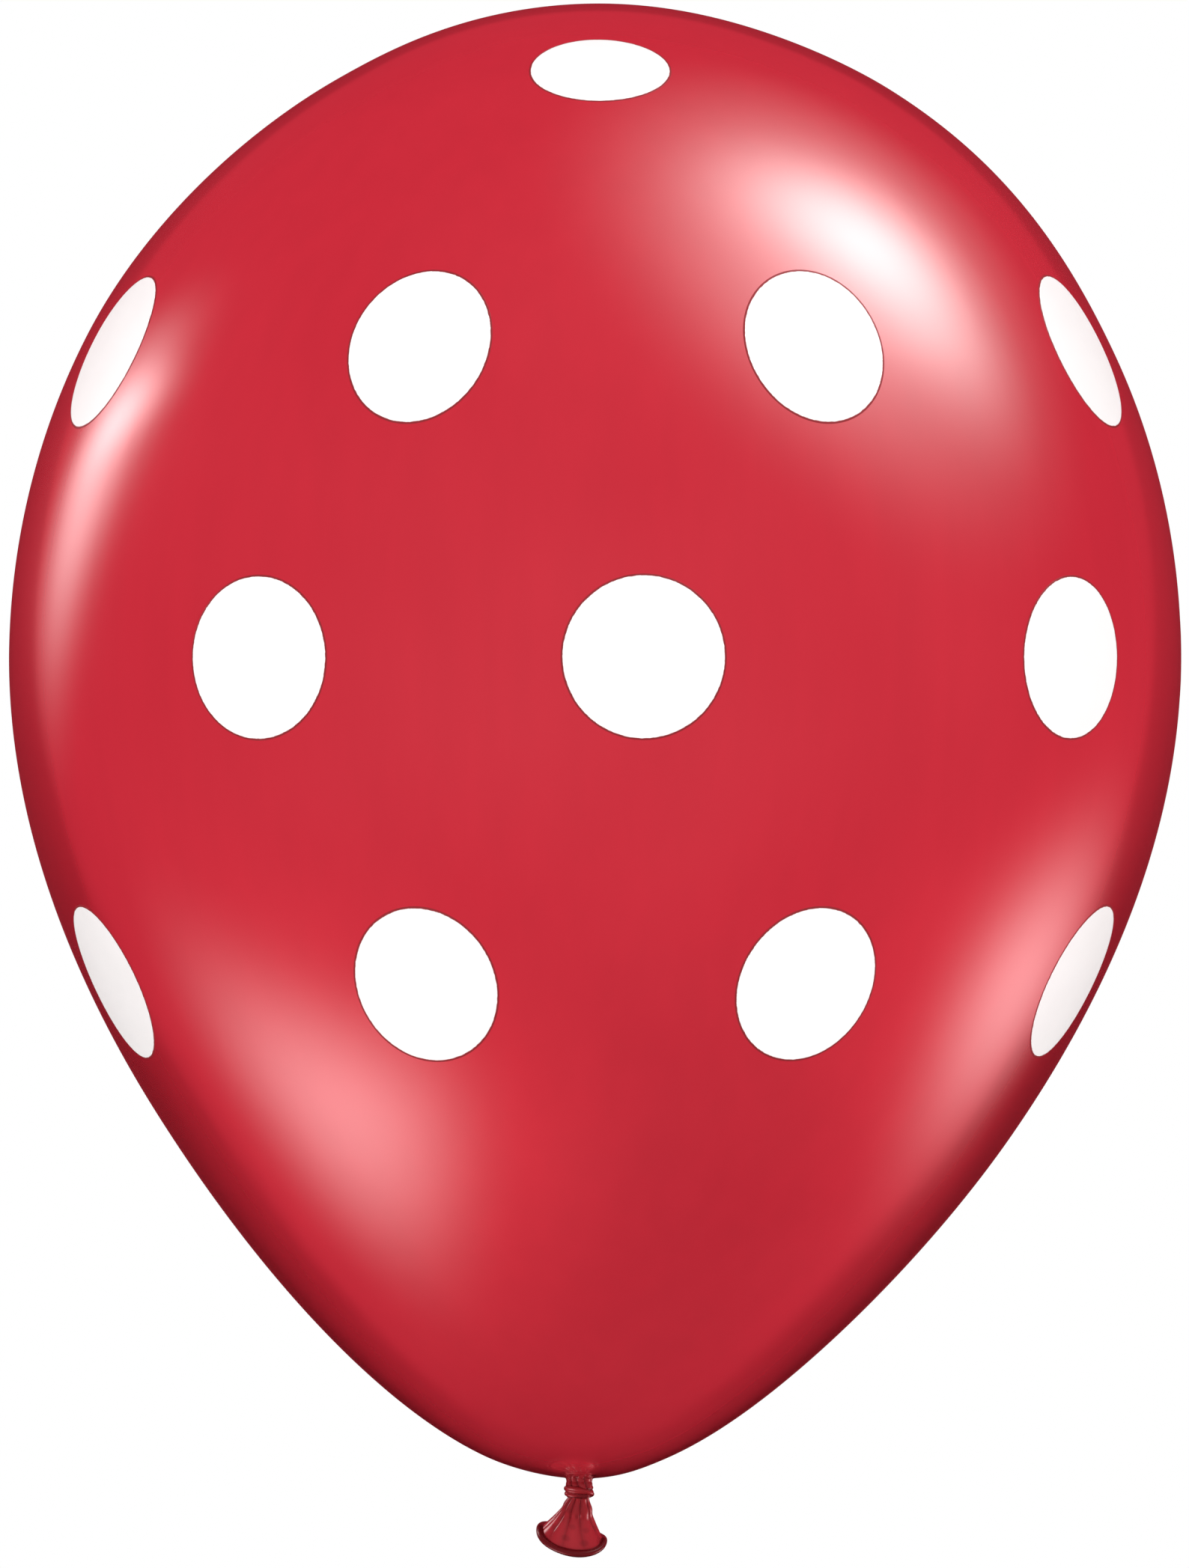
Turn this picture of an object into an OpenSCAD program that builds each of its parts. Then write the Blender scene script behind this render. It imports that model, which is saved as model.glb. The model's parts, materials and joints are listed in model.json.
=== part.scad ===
// Inflated round latex balloon, tied at the neck, with printed polka dots.
// Origin: middle of the tied neck, where a ribbon is wound. +Z runs up to the crown, -Y is the front.

/* [Bulb] */
// Width of the inflated bulb at its widest ring
bulb_d = 280; // [240:1:300]
// Height of the widest ring above the tied neck
belly_z = 196.3; // [170:0.1:215]
// Height of the crown above the widest ring
crown_h = 156.9; // [140:0.1:170]
// Thickness of the latex wall of the bulb
wall = 0.35; // [0.3:0.05:1]
// How much the bulb narrows towards the neck
taper = 0.333; // [0.2:0.001:0.45]
// How late that narrowing sets in
taper_power = 1.89; // [1.5:0.01:3]
// How much the crown is flattened
crown_flat = 0.05; // [0:0.002:0.12]

/* [Neck and knot] */
// Width of the gathered neck
neck_d = 6; // [5:0.1:6.4]
// Length of neck that shows between the bulb and the knot
neck_gap = 1.3; // [1:0.1:2]
// Width of the knot
knot_d = 7; // [6.6:0.1:8]
// Height of the knot
knot_h = 3.2; // [3:0.1:3.6]
// Thickness of the rolled latex that the knot is tied in
knot_strand = 2.7; // [2.4:0.1:2.8]

/* [Tail] */
// Length of the tail from its bend to the middle of its mouth
tail_l = 9.5; // [8.5:0.1:14]
// Width of the mouth, along the middle of its rolled rim
mouth_d = 15.6; // [14:0.1:20]
// Thickness of the rolled rim
bead_d = 1.9; // [1.6:0.1:2.2]
// Thickness of the latex in the tail
tail_wall = 0.6; // [0.5:0.05:0.8]
// How far the tail hangs to the left
tail_left = 10; // [0:1:12]
// How far the tail hangs to the rear
tail_rear = 30; // [0:1:32]

/* [Printed dots] */
// Width of a dot on the sides of the bulb
dot_d = 37; // [24:1:40]
// Width of a dot around the widest ring
middle_dot_d = 38; // [24:1:40]
// Width of a dot around the crown
crown_dot_d = 32; // [20:0.5:34]
// How much longer than wide a dot is pulled above and below the widest ring
dot_pull = 1.13; // [1:0.01:1.25]
// Thickness of the ink
ink = 0.2; // [0.15:0.05:0.4]
// Lean of the printed rows against the neck, in degrees
print_lean = 1.15; // [0:0.05:3]

/* [Hidden] */
$fn = 96;
STEPS = 72;             // straight stretches in half of the bulb's outline
STEP = 180 / STEPS;     // degrees of the outline's parameter in each stretch
GAP = 0.1;              // clearance between the neck and the knot that turns on it
SEAT_GAP = 0.3;         // clearance between the tail's ball and its seat in the knot
STEM = 2.4;             // width of the ball on top of the tail
SHOULDER = [3.2, 3.9];  // distance along the tail, and its radius there
INK_MARGIN = 4;         // the ring of ink reaches this far past the stamp
STAMP_SIDES = 64;       // straight sides of a stamp
BULB_MM_PER_DEGREE = 2.2;  // least length of outline in one degree of its parameter

neck_bottom = -neck_gap / 2;
bulb_bottom = neck_gap / 2;
drop = belly_z - bulb_bottom;
knot_top = neck_bottom - GAP;
knot_bottom = knot_top - knot_h;
bend_z = knot_bottom - STEM / 2 + 0.4;

// The printed rows: name, height above the widest ring, dot width, how much longer than wide the dots are,
// and where they stand around the bulb in degrees, 0 at the front and + to the right
ROWS = [
    ["crown_dot_", 140, crown_dot_d, 0.95, [-3, 117.5, 237.5]],
    ["upper_dot_", 73.5, dot_d, dot_pull, [-69.3, -20.2, 24.1, 69.2, 114.1, 158.2, 202.4, 246.5]],
    ["middle_dot_", 0.1, middle_dot_d, 1, [-34.6, 4.7, 53.9, 97, 138, 179, 220.5, 262]],
    ["lower_dot_", -76.9, dot_d, dot_pull, [-70.6, -18.5, 24.9, 70.6, 114.7, 158.2, 201.7, 245.2]]
];

function dot_name(row, i) = str(row[0], i + 1);

// The outline's parameter t runs from 0 at the crown to 180 degrees at the neck.
// Above the widest ring the outline is a slightly flattened ellipse, below it one that narrows to the neck.
function height(t) = cos(t) > 0 ? crown_h * cos(t) : drop * cos(t);
function narrowing(t) = cos(t) > 0 ? 1 - crown_flat * pow(cos(t), 8) : 1 - taper * pow(-cos(t), taper_power);
function outline(t) = [bulb_d / 2 * sin(t) * narrowing(t), belly_z + height(t)];

// Unit normal of the outline, pointing out of the bulb
function normal(t) =
    let (d = outline(t + 0.05) - outline(t - 0.05))
    [-d.y, d.x] / norm(d);

// A point at height h above the bulb's surface. At the crown it stays on the axis.
function skin(t, h) =
    t == 0 ? [0, belly_z + crown_h + h] :
    t == 180 ? [0, bulb_bottom - h] :
    outline(t) + h * normal(t);

// Parameter of the outline at a height above or below the widest ring
function at_height(h) = h > 0 ? acos(h / crown_h) : acos(h / drop);

module bulb() {
    color("crimson")
    difference() {
        rotate_extrude()
            polygon(concat(
                [for (i = [0:STEPS]) skin(i * STEP, 0)],
                [for (i = [STEPS:-1:0]) skin(i * STEP, -wall)]
            ));
        translate([0, 0, neck_bottom])
            cylinder(h = 3 * neck_gap, d = neck_d);
    }
}

// The gathered neck passes through the foot of the bulb and ends in a small plug inside it.
module neck() {
    color("firebrick")
    rotate_extrude()
        polygon([
            [0, neck_bottom],
            [neck_d / 2, neck_bottom],
            [neck_d / 2, bulb_bottom + wall],
            [neck_d / 2 - 0.8, bulb_bottom + 2 * wall + 1],
            [0, bulb_bottom + 2 * wall + 1]
        ]);
}

// Two turns of rolled latex pulled tight, flat where they turn on the neck,
// with a ball seat for the tail underneath.
module knot() {
    color("firebrick")
    difference() {
        rotate_extrude()
            intersection() {
                union() {
                    for (z = [knot_top - 0.6, knot_bottom + knot_strand / 2])
                        translate([(knot_d - knot_strand) / 2, z])
                            circle(d = knot_strand);
                    translate([0, knot_bottom + 0.5])
                        square([(knot_d - knot_strand) / 2, knot_h - 0.5]);
                }
                translate([0, knot_bottom])
                    square([knot_d, knot_h]);
            }
        translate([0, 0, bend_z])
            sphere(d = STEM + 2 * SEAT_GAP);
    }
}

// Puts the tail's own axis, straight down from its bend, where it hangs.
module hang_tail() {
    translate([0, 0, bend_z])
        rotate([tail_rear, tail_left, 0])
            children();
}

module bead_ring(d) {
    rotate_extrude()
        translate([mouth_d / 2, -tail_l])
            circle(d = d);
}

// Radius of the tail at a distance s below its bend: it opens quickly, then more slowly.
function flare(s) =
    let (u = (s - SHOULDER[0]) / (tail_l - SHOULDER[0]))
    SHOULDER[1] + (mouth_d / 2 - SHOULDER[1]) * (1.5 * u - 0.5 * u * u);

module tail_skirt() {
    rings = [for (i = [0:6]) SHOULDER[0] + i * (tail_l - SHOULDER[0]) / 6];
    color("firebrick")
    hang_tail()
        difference() {
            union() {
                sphere(d = STEM);
                rotate_extrude()
                    polygon(concat(
                        [[0, 0], [STEM / 2, 0], [STEM / 2 + 0.2, -1.3]],
                        [for (s = rings) [flare(s), -s]],
                        [for (i = [6:-1:1]) [flare(rings[i]) - tail_wall, -rings[i]]],
                        [[0, -SHOULDER[0] - 0.6]]
                    ));
            }
            bead_ring(bead_d);
        }
}

module tail_bead() {
    color("darkred")
    hang_tail()
        bead_ring(bead_d);
}

// An ellipse of two widths, along x and along y
module stamp(x, y) {
    polygon([for (k = [0:STAMP_SIDES - 1]) [x / 2 * cos(360 * k / STAMP_SIDES), y / 2 * sin(360 * k / STAMP_SIDES)]]);
}

// One dot: a thin ring of ink that follows the bulb's surface, kept only inside an oval stamp.
// Pulling a dot longer makes it narrower, so that it keeps its area.
// The rows were printed a little askew, so a dot's height depends on its side of the bulb.
module dot(row, i) {
    long = row[2] * sqrt(row[3]);
    wide = row[2] / sqrt(row[3]);
    azimuth = row[4][i];
    askew = tan(print_lean) * sin(azimuth) * outline(at_height(row[1])).x;
    t = at_height(row[1] + askew);
    reach = (long / 2 + INK_MARGIN) / BULB_MM_PER_DEGREE;
    first = max(0, floor((t - reach) / STEP));
    last = ceil((t + reach) / STEP);
    n = normal(t);
    color("white")
    intersection() {
        rotate_extrude()
            polygon(concat(
                [for (k = [first:last]) skin(k * STEP, ink)],
                [for (k = [last:-1:first]) skin(k * STEP, 0)]
            ));
        rotate([0, 0, azimuth - 90])
            translate([outline(t).x, 0, outline(t).y])
                rotate([0, 90 - atan2(n.y, n.x), 0])
                    linear_extrude(height = long / 2, center = true)
                        stamp(long, wide);
    }
}

bulb();
neck();
knot();
tail_skirt();
tail_bead();
for (row = ROWS)
    for (i = [0:len(row[4]) - 1])
        dot(row, i);
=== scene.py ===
# %% [markdown]
# # A tied latex balloon with printed dots
#
# The object is one dip-moulded latex balloon, blown up, knotted and printed with round dots of white ink.
# Its bulb is a smooth body of revolution, so a surface of revolution on a grid fits it exactly.
# The interest is at the foot: the latex is gathered into a neck, tied, and opens again into a little skirt
# with a rolled rim.
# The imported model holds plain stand-ins for those pieces, at their true places. This script builds the
# skins that are seen, each one the size of its stand-in, and gives them their finish.

import json
import math

import bpy
import numpy as np
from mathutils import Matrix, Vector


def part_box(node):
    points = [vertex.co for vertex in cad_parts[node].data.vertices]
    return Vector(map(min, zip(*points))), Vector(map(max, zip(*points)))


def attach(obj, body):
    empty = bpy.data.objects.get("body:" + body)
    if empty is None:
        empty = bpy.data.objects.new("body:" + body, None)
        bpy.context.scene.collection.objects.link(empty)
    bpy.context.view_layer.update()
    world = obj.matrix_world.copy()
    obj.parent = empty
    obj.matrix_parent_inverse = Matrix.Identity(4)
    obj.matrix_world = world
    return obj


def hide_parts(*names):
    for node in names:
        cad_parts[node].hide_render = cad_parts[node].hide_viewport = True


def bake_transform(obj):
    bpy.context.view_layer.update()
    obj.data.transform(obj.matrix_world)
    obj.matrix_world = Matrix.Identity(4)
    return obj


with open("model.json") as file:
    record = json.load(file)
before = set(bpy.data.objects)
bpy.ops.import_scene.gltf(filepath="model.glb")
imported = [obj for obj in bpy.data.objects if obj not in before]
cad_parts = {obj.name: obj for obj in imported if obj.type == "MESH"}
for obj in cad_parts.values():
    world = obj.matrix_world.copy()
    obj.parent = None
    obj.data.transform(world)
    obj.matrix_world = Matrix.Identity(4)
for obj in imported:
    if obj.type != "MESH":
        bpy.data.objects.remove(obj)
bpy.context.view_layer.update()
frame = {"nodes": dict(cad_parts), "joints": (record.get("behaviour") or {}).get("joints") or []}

MM = 0.001

# %% [markdown]
# ## Sizes
#
# The bulb's outline is worked out from a few sizes, in metres. The widths and heights come from the packed
# pieces, so the skins follow if those change. Only the numbers that shape the curve are written here: where
# the widest ring is, how strongly the bulb narrows below it, and how much the crown is flattened.

# %% Sizes of the bulb
bulb_low, bulb_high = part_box("bulb")
neck_low, neck_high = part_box("neck")

BELLY_R = (bulb_high.x - bulb_low.x) / 2
CROWN_Z = bulb_high.z
FOOT_Z = -neck_low.z
BELLY_Z = 196.3 * MM
TAPER, TAPER_POWER = 0.333, 1.89
CROWN_FLAT, CROWN_POWER = 0.05, 8
NECK_R = (neck_high.x - neck_low.x) / 2
print(f"bulb {2 * BELLY_R / MM:.1f} mm wide, crown at {CROWN_Z / MM:.1f} mm")
print(f"neck {2 * NECK_R / MM:.1f} mm wide")

# %% [markdown]
# ## The outline of a blown-up balloon
#
# Above its widest ring a round balloon is close to an ellipse, a little flattened on top, where the latex
# is thicker and stretches less. Below the ring it narrows to the neck like a drop.
# One formula gives the radius at any height, so the bulb, and the ink that lies on it, share one surface.
# A real balloon is never quite round, so the finished surface is also moved a little sideways in two
# places: to the right below the crown, and to the left near the foot.

# %% The outline
SHOULDER_SWAY, SHOULDER_BAND, SHOULDER_END = 1.8 * MM, (0.272, 0.328), 0.334
FOOT_SWAY, FOOT_BAND, FOOT_RADII = 1.3 * MM, (0.015, 0.085), (0.004, 0.022)


def outline(t):
    """Radius and height of the bulb at angle t, from 0 at the crown to pi at the foot. The radius is the
    sine times the widest radius, less a share that grows as a power of the cosine; the height above the
    widest ring is the cosine times the height of that half."""
    c = np.cos(t)
    up = c > 0
    fall = np.where(up, CROWN_FLAT * np.abs(c) ** CROWN_POWER, TAPER * np.abs(c) ** TAPER_POWER)
    half_height = np.where(up, CROWN_Z - BELLY_Z, BELLY_Z - FOOT_Z)
    return BELLY_R * np.sin(t) * (1 - fall), BELLY_Z + c * half_height


def radius_at(z):
    """Radius of the bulb at height z: the outline's radius at the angle whose cosine gives that height."""
    half_height = np.where(z > BELLY_Z, CROWN_Z - BELLY_Z, BELLY_Z - FOOT_Z)
    return outline(np.arccos(np.clip((z - BELLY_Z) / half_height, -1, 1)))[0]


def smooth_step(x, low, high):
    """0 below low, 1 above high, and a smooth cubic between them."""
    u = np.clip((x - low) / (high - low), 0, 1)
    return u * u * (3 - 2 * u)


def sway(points):
    """Points of the bulb's surface, moved a little along x. The move to the right grows over the shoulder's
    band of heights and fades out up to the crown; the one to the left is full at the bottom of the foot's
    band, fades out over it, and fades out again towards the neck."""
    z = points[..., 2]
    r = np.hypot(points[..., 0], points[..., 1])
    shoulder = smooth_step(z, *SHOULDER_BAND) * (1 - smooth_step(z, SHOULDER_END, CROWN_Z))
    foot = smooth_step(r, *FOOT_RADII) * (1 - smooth_step(z, *FOOT_BAND))
    shift = SHOULDER_SWAY * shoulder - FOOT_SWAY * foot
    return points + shift[..., None] * np.array([1.0, 0.0, 0.0])


def unit(v):
    """Each vector divided by its length."""
    return v / np.linalg.norm(v, axis=-1, keepdims=True)


print("radius half-way up:", round(float(radius_at(np.array(CROWN_Z / 2))) / MM, 1), "mm")

# %% [markdown]
# ## From a grid of points to a closed skin
#
# Every new piece is a stack of rings. A ring is one row of the grid and closes on itself; the first and the
# last ring are each closed with a fan of triangles to a point in their middle. A closed skin has a volume,
# and the sign of that volume says whether its faces look outwards, so the helper turns them if they don't.


# %% A closed skin from rings
def signed_volume(points, triangles):
    """Sum over the triangles of a corner dotted with the cross product of the other two, over six."""
    a, b, c = (points[triangles[:, i]] for i in range(3))
    return float(np.sum(a * np.cross(b, c))) / 6


def skin(name, rings, joined=False, **point_values):
    """A mesh from rings of points, shaped (rings, points in a ring, 3). Its two ends are closed by fans, or
    with joined=True the last ring meets the first. point_values are numbers kept at each grid point."""
    count, around = rings.shape[:2]
    points = rings.reshape(-1, 3)
    i = np.arange(count if joined else count - 1)[:, None]
    j = np.arange(around)[None, :]
    here, there = i * around, (i + 1) % count * around
    step = (j + 1) % around
    quads = np.stack([here + j, here + step, there + step, there + j], -1).reshape(-1, 4)
    fans = np.zeros((0, 3), int)
    if not joined:
        poles = np.stack([rings[0].mean(0), rings[-1].mean(0)])
        points = np.vstack([points, poles])
        j, step = j[0], step[0]
        first, last = count * around, count * around + 1
        end = (count - 1) * around
        fans = np.vstack([
            np.stack([np.full(around, first), step, j], -1),
            np.stack([np.full(around, last), end + j, end + step], -1),
        ])
    triangles = np.vstack([quads[:, [0, 1, 2]], quads[:, [0, 2, 3]], fans])
    if signed_volume(points, triangles) < 0:
        quads, fans = quads[:, ::-1], fans[:, ::-1]
    mesh = bpy.data.meshes.new(name)
    mesh.from_pydata(points.tolist(), [], quads.tolist() + fans.tolist())
    mesh.polygons.foreach_set("use_smooth", np.ones(len(mesh.polygons), bool))
    for key, values in point_values.items():
        values = np.broadcast_to(values, rings.shape[:2]).ravel()
        if not joined:
            values = np.append(values, [values[0], values[-1]])
        layer = mesh.attributes.new(key, "FLOAT", "POINT")
        layer.data.foreach_set("value", values.astype(np.float32))
    piece = bpy.data.objects.new(name, mesh)
    bpy.context.scene.collection.objects.link(piece)
    print(f"{name}: {len(points)} points, {len(triangles)} triangles")
    return piece


# %% [markdown]
# ## The finish of blown latex
#
# Red balloon latex is opaque pigment in a clear rubber. Stretched thin it is bright and very glossy; where
# it is gathered and thick, at the foot, the knot and the tail, the same pigment looks much darker.
# A Principled shader with a clear coat gives both: a soft body under a glassy skin. The coat bends light
# more than plain plastic does, so the rim of the balloon mirrors the dark of the studio and reads as a
# dark edge. The gathered tail is less glossy than the blown bulb, and its rolled rim less again.
# Three procedural patterns keep it from being a flat colour: a broad unevenness of the dip, faint streaks
# where the latex ran down the mould, and a very fine grain. Folds, creases and hollows are darkened towards
# a deep red as painted shade.


# %% Helpers for node materials
def new_material(name):
    """A node material with its Principled shader, and the two functions that add and join nodes."""
    material = bpy.data.materials.new(name)
    material.use_nodes = True
    tree = material.node_tree
    shader = tree.nodes["Principled BSDF"]

    def add(kind, **settings):
        node = tree.nodes.new(kind)
        for key, value in settings.items():
            setattr(node, key, value)
        return node

    def join(source, target):
        tree.links.new(source, target)

    return material, shader, add, join


def noise(add, join, vector, scale, detail=3.0, roughness=0.5):
    """A noise pattern with so many waves to the metre."""
    node = add("ShaderNodeTexNoise")
    node.inputs["Scale"].default_value = scale
    node.inputs["Detail"].default_value = detail
    node.inputs["Roughness"].default_value = roughness
    join(vector, node.inputs["Vector"])
    return node.outputs["Fac"]


def ramp(add, join, value, low, high, to_low=0.0, to_high=1.0):
    """value moved from the range low..high to to_low..to_high, and held there."""
    node = add("ShaderNodeMapRange")
    for key, number in (("From Min", low), ("From Max", high), ("To Min", to_low), ("To Max", to_high)):
        node.inputs[key].default_value = number
    join(value, node.inputs["Value"])
    return node.outputs["Result"]


def spread(add, join, pattern, to_low=0.0, to_high=1.0):
    """A noise pattern with its usual range of values, 0.3 to 0.7, spread over to_low..to_high."""
    return ramp(add, join, pattern, 0.3, 0.7, to_low, to_high)


def mix(add, join, factor, a, b):
    """Colours a and b mixed by factor. Each colour is a socket or three numbers, and factor a socket."""
    node = add("ShaderNodeMix", data_type="RGBA", blend_type="MIX")
    for socket, value in ((node.inputs[0], factor), (node.inputs[6], a), (node.inputs[7], b)):
        if isinstance(value, tuple):
            socket.default_value = (*value, 1)
        else:
            join(value, socket)
    return node.outputs[2]


# %% Red latex
STRETCHED_RED = (0.53, 0.0132, 0.030)
GATHERED_RED = (0.235, 0.007, 0.011)
# DEEP_RED is mixed in as painted shade in folds, creases and hollows, and as plain darker colour on the
# tail's blotches and rolled rim.
DEEP_RED = (0.075, 0.0015, 0.003)
BROAD_WAVES, STREAK_WAVES, GRAIN_WAVES = 11, 130, 1500
STREAK_SQUEEZE = 0.12
LATEX_IOR, COAT_IOR, COAT_ROUGHNESS = 1.6, 1.8, 0.06


def red_latex(name, grain=1.0, gloss=1.0):
    """Glossy red latex. The attribute "film" says how far it is stretched, from 0, gathered, to 1, blown
    tight; a second attribute mixes in a deep red: painted shade in folds, creases and hollows, and plain
    darker colour on a few blotches and the rolled rim. Grain scales the fine bumps, and gloss the clear
    coat."""
    material, shader, add, join = new_material(name)
    place = add("ShaderNodeTexCoord").outputs["Object"]
    film = add("ShaderNodeAttribute", attribute_name="film").outputs["Fac"]
    crease = add("ShaderNodeAttribute", attribute_name="crease").outputs["Fac"]

    broad = noise(add, join, place, BROAD_WAVES, detail=2)
    runs = add("ShaderNodeMapping")
    runs.inputs["Scale"].default_value = (1, 1, STREAK_SQUEEZE)
    join(place, runs.inputs["Vector"])
    streaks = noise(add, join, runs.outputs["Vector"], STREAK_WAVES, detail=4)
    fine = noise(add, join, place, GRAIN_WAVES, detail=3)

    body = mix(add, join, film, GATHERED_RED, STRETCHED_RED)
    # Painted shade: folds, creases and hollows are darkened towards the deep red.
    body = mix(add, join, crease, body, DEEP_RED)
    uneven = spread(add, join, broad, 0.95, 1.03)
    streaky = spread(add, join, streaks, 0.975, 1.02)
    shade = add("ShaderNodeMath", operation="MULTIPLY")
    join(uneven, shade.inputs[0])
    join(streaky, shade.inputs[1])
    tone = add("ShaderNodeVectorMath", operation="SCALE")
    join(body, tone.inputs[0])
    join(shade.outputs[0], tone.inputs["Scale"])
    join(tone.outputs["Vector"], shader.inputs["Base Color"])
    join(spread(add, join, broad, 0.20, 0.26), shader.inputs["Roughness"])

    shader.inputs["IOR"].default_value = LATEX_IOR
    shader.inputs["Coat Weight"].default_value = gloss
    shader.inputs["Coat Roughness"].default_value = COAT_ROUGHNESS
    shader.inputs["Coat IOR"].default_value = COAT_IOR

    ripples = add("ShaderNodeBump")
    ripples.inputs["Strength"].default_value = 0.12
    ripples.inputs["Distance"].default_value = 0.15 * MM
    join(streaks, ripples.inputs["Height"])
    speckle = add("ShaderNodeBump")
    speckle.inputs["Strength"].default_value = 0.05 * grain
    speckle.inputs["Distance"].default_value = 0.05 * MM
    join(fine, speckle.inputs["Height"])
    join(ripples.outputs["Normal"], speckle.inputs["Normal"])
    join(speckle.outputs["Normal"], shader.inputs["Normal"])
    join(ripples.outputs["Normal"], shader.inputs["Coat Normal"])
    return material


bulb_latex = red_latex("blown_latex")
tail_latex = red_latex("gathered_latex", grain=3.0, gloss=0.7)
rim_latex = red_latex("rolled_latex", grain=3.0, gloss=0.25)
print("latex materials:", bulb_latex.name, tail_latex.name, rim_latex.name)

# %% [markdown]
# ## White ink
#
# The dots are screen-printed on the blown balloon: a soft, slightly chalky white that stretches with the
# latex. At its rim the ink thins out, and the red under it shows through as a fine dark line.
# The attribute "edge" tells the material where on the dot it is, from 0 in the middle to 1 at the end of
# the white, and a little over 1 in the dark line.

# %% White ink
INK_WHITE = (0.93, 0.93, 0.925)
INK_PALEST = (0.955, 0.955, 0.95)
RIM_RED = (0.26, 0.010, 0.016)
INK_IOR = 1.45
BORDER_SHARP = 0.003


def white_ink():
    """Satin white that turns to a thin line of deep red past edge 1, with a slightly uneven border."""
    material, shader, add, join = new_material("printed_ink")
    place = add("ShaderNodeTexCoord").outputs["Object"]
    edge = add("ShaderNodeAttribute", attribute_name="edge").outputs["Fac"]
    wobble = spread(add, join, noise(add, join, place, 900, detail=2), -BORDER_SHARP, BORDER_SHARP)
    border = add("ShaderNodeMath", operation="ADD")
    join(edge, border.inputs[0])
    join(wobble, border.inputs[1])
    past = ramp(add, join, border.outputs[0], 1 - BORDER_SHARP, 1 + BORDER_SHARP)
    cloudy = spread(add, join, noise(add, join, place, 60, detail=4))
    white = mix(add, join, cloudy, INK_WHITE, INK_PALEST)
    join(mix(add, join, past, white, RIM_RED), shader.inputs["Base Color"])
    mottled = noise(add, join, place, 700, detail=4)
    join(spread(add, join, mottled, 0.38, 0.5), shader.inputs["Roughness"])
    bump = add("ShaderNodeBump")
    bump.inputs["Strength"].default_value = 0.08
    bump.inputs["Distance"].default_value = 0.05 * MM
    join(mottled, bump.inputs["Height"])
    join(bump.outputs["Normal"], shader.inputs["Normal"])
    shader.inputs["IOR"].default_value = INK_IOR
    return material


ink = white_ink()
print("ink material:", ink.name)

# %% [markdown]
# ## The gathers at the neck
#
# Tied latex folds into lobes: round ridges with sharp valleys between them. The same lobes run from the
# foot of the bulb through the neck, so one function of the angle serves both pieces, and the knot's core
# and the tail too. The lobes aren't even: two slow waves stretch some of them and squeeze others.

# %% The lobes
LOBES = 9
LOBE_POWER = 0.6


def lobes(angle, count=LOBES, twist=0.0):
    """0 in a valley and 1 on a ridge: the size of a half-speed sine, raised to a power under one so that
    the ridges are round and the valleys sharp. The angle is first warped by two slow waves."""
    warped = angle + 0.22 * np.sin(angle + 0.6) + 0.10 * np.sin(2 * angle + 2.1) + twist
    return np.abs(np.sin(count * warped / 2)) ** LOBE_POWER


print("lobes: mean height", round(float(lobes(np.linspace(0, 2 * np.pi, 720)).mean()), 2))

# %% [markdown]
# ## The bulb
#
# The bulb is its outline turned about the axis. Close to the neck the latex can't lie flat, because its
# rim is squeezed into a much shorter one, and it puckers. The puckers are pushed in along the surface's
# normal and die away within about 2 cm, and their valleys are darkened as painted shade. At the very foot
# the skin turns down into the neck with a small round. The latex is thicker, and so darker, near the foot
# and a little at the crown.

# %% The bulb's skin
BULB_RINGS, BULB_AROUND = 272, 320
FIRST_RING = 0.004
PUCKER_DEPTH = 0.45 * MM
PUCKER_REACH = 5.5 * MM
PUCKER_FULL, PUCKER_TOP = 0.02, 0.08
PUCKER_SHADE = 0.9
ROUND, ROUND_RINGS = 0.9 * MM, 8
FOOT_INSIDE = 0.92
FOOT_THICK, FOOT_REACH = 0.85, 9 * MM
CROWN_THICK, CROWN_REACH = 0.10, 11 * MM

angle = np.linspace(0, 2 * np.pi, BULB_AROUND, endpoint=False)
t_end = math.pi - math.asin((NECK_R + ROUND) / BELLY_R / (1 - TAPER))
t = np.linspace(FIRST_RING, t_end, BULB_RINGS)
r, z = outline(t)

# The round: a quarter turn from the foot of the outline down to just inside the neck's own radius.
turn = np.linspace(0, math.pi / 2, ROUND_RINGS + 1)[1:]
r = np.append(r, r[-1] - (r[-1] - NECK_R * FOOT_INSIDE) * np.sin(turn))
z = np.append(z, z[-1] - ROUND * (1 - np.cos(turn)))

slope_r, slope_z = np.gradient(r), np.gradient(z)
normal = unit(np.stack([-slope_z, slope_r], -1))
from_neck = np.maximum(r - NECK_R, 0)
fade = np.exp(-from_neck / PUCKER_REACH) * smooth_step(-z, -PUCKER_TOP, -PUCKER_FULL)
push = -PUCKER_DEPTH * fade[:, None] * (1 - lobes(angle))[None, :]
radial = r[:, None] + push * normal[:, :1]
rings = np.stack([
    radial * np.sin(angle),
    -radial * np.cos(angle),
    z[:, None] + push * normal[:, 1:],
], -1)

film = 1 - FOOT_THICK * np.exp(-from_neck / FOOT_REACH) * (z < BELLY_Z)
film = film - CROWN_THICK * np.exp(-(r / CROWN_REACH) ** 2) * (z > BELLY_Z)
# Painted shade: the valleys of the puckers are darkened towards the deep red.
crease = PUCKER_SHADE * fade[:, None] * (1 - lobes(angle))[None, :]

bulb = skin("blown_bulb", sway(rings), film=film[:, None], crease=crease)
bulb.data.materials.append(bulb_latex)
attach(bulb, "root")
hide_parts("bulb")

# %% [markdown]
# ## The printed dots
#
# A dot is a thin lens of ink that follows the bulb. Each packed dot says where its print lies: the middle
# of its skin, carried onto the bulb's surface, and how far it reaches from there. Rings of points round
# that middle are then let down onto the bulb along the dot's normal, and lifted again by the thickness of
# the ink. Last they are moved sideways just as the bulb is.

# %% Where a printed dot lies
SEARCH, HALVINGS = 6 * MM, 40


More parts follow.
